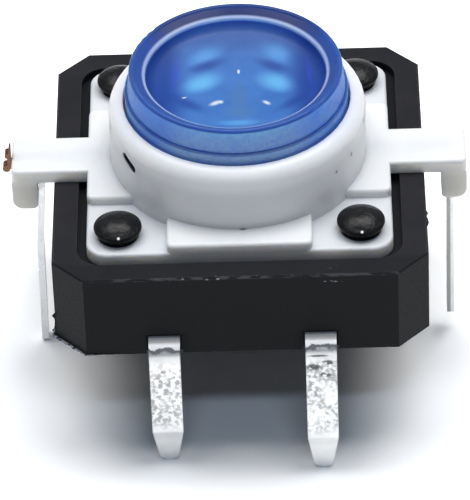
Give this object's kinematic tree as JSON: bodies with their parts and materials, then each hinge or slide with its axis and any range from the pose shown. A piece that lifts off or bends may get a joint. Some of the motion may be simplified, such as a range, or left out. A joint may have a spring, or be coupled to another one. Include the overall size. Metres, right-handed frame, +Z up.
{
  "type": "tactile push button switch",
  "caption": "Square through-hole tactile push switch with a round dished see-through cap, a lamp under it, bent legs and thin lamp leads.",
  "frame": {"origin": "centre of the base's flat underside, where it sits on the circuit board", "axes": "+X to the right along the two side arms, +Y to the back, +Z up through the cap; the legs point down"},
  "size_m": [0.0151, 0.014, 0.0111],
  "materials": {
    "black_plastic": "fine matt moulding, worn pale along its edges",
    "white_plastic": "smooth white moulding with small dark specks",
    "blue_plastic": "tinted see-through plastic, polished bowl, finely frosted side",
    "tinned_strip": "bright tin plate with a rough, speckled skin",
    "lead_metal": "tin plate with a bare copper-coloured cut end",
    "dome_steel": "rolled spring steel",
    "natural_plastic": "undyed moulding",
    "clear_resin": "clear cast resin",
    "chip_crystal": "polished crystal",
    "silver_resin": "set resin filled with silver",
    "gold_wire": "bright drawn wire"
  },
  "bodies": {
    "switch_body": {"base_housing": "black_plastic", "left_contact_strip": "tinned_strip", "right_contact_strip": "tinned_strip", "snap_dome": "dome_steel", "cover_frame": "white_plastic", "led_lens": "clear_resin", "anode_lead": "lead_metal", "cathode_lead": "lead_metal", "led_chip": "chip_crystal", "die_attach": "silver_resin", "anode_bond_wire": "gold_wire", "cathode_bond_wire": "gold_wire"},
    "button": {"button_cap": "blue_plastic", "plunger": "natural_plastic"}
  },
  "joints": [
    {"name": "button_press", "type": "slide", "parent": "switch_body", "child": "button", "axis": [0, 0, -1], "range_m": [0, 0.00025], "stiffness_N_per_m": 6400, "deforming": ["snap_dome"]}
  ]
}
